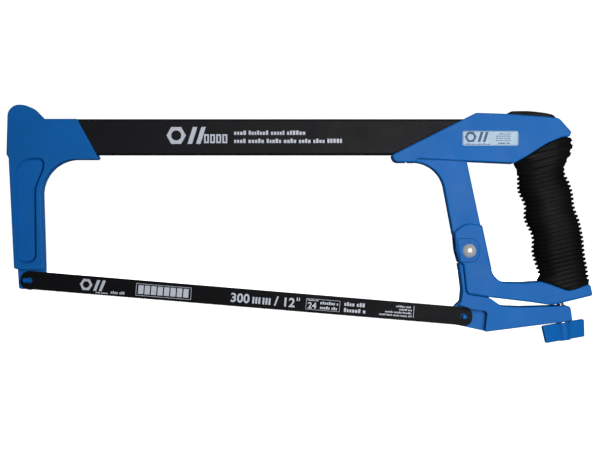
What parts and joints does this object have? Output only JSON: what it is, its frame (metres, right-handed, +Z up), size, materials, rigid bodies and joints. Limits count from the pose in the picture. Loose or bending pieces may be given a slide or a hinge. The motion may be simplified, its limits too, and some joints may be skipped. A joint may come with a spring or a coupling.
{
  "type": "hacksaw",
  "caption": "Hand hacksaw with a rectangular back tube, cast front arm, closed rubber grip, and a wing nut that tensions a toothed steel blade through a lever.",
  "frame": {"origin": "centre of the saw's footprint at the height of the wing nut's lowest point, with the saw upright and the blade down", "axes": "+X along the back tube from the front arm to the handle, +Y through the saw's thickness away from the side that the blade hangs on, +Z up from the blade to the back tube"},
  "size_m": [0.4008, 0.03, 0.1633],
  "materials": {
    "blue_casting": "satin powder coat",
    "black_tube": "satin powder coat",
    "black_blade": "satin lacquer, bright tooth tips",
    "chrome_bolt": "polished",
    "zinc_steel": "zinc plated",
    "black_rubber": "satin, ribbed",
    "silver_label": "foil sticker"
  },
  "bodies": {
    "frame": {"back_tube": "black_tube", "front_casting": "blue_casting", "handle_casting": "blue_casting", "front_tube_pin": "zinc_steel", "handle_tube_pin": "zinc_steel", "front_blade_pin": "blue_casting", "pivot_bolt": "chrome_bolt", "pivot_nut": "chrome_bolt", "tension_stud": "zinc_steel", "grip_sleeve": "black_rubber", "thumb_pad": "black_rubber", "label": "silver_label"},
    "lever": {"tension_lever": "blue_casting", "rear_blade_pin": "blue_casting"},
    "washer": {"thrust_washer": "zinc_steel"},
    "wing_nut": {"wing_nut": "blue_casting"},
    "blade": {"blade": "black_blade"}
  },
  "joints": [
    {"name": "washer_slide", "type": "slide", "parent": "frame", "child": "washer", "axis": [0.1262, 0, -0.992], "range_m": [0, 0.0036]},
    {"name": "wing_nut_spin", "type": "hinge", "parent": "washer", "child": "wing_nut", "pos_m": [0.18128, 0, 0.01434], "axis": [0.1262, 0, -0.992], "range_deg": [0, 1620.1]},
    {"name": "lever_pivot", "type": "hinge", "parent": "frame", "child": "lever", "pos_m": [0.116, 0, 0.063], "axis": [0, 1, 0], "range_deg": [0, 3.27]},
    {"name": "blade_release", "type": "slide", "parent": "frame", "child": "blade", "axis": [-0.4212, -0.9063, 0.0351], "range_m": [0, 0.00474]}
  ],
  "couplings": [
    {"joint": "wing_nut_spin", "follows": "lever_pivot", "ratio": 494.8},
    {"joint": "washer_slide", "follows": "lever_pivot", "m_per_rad": 0.063},
    {"joint": "blade_release", "follows": "lever_pivot", "m_per_rad": 0.082876}
  ]
}
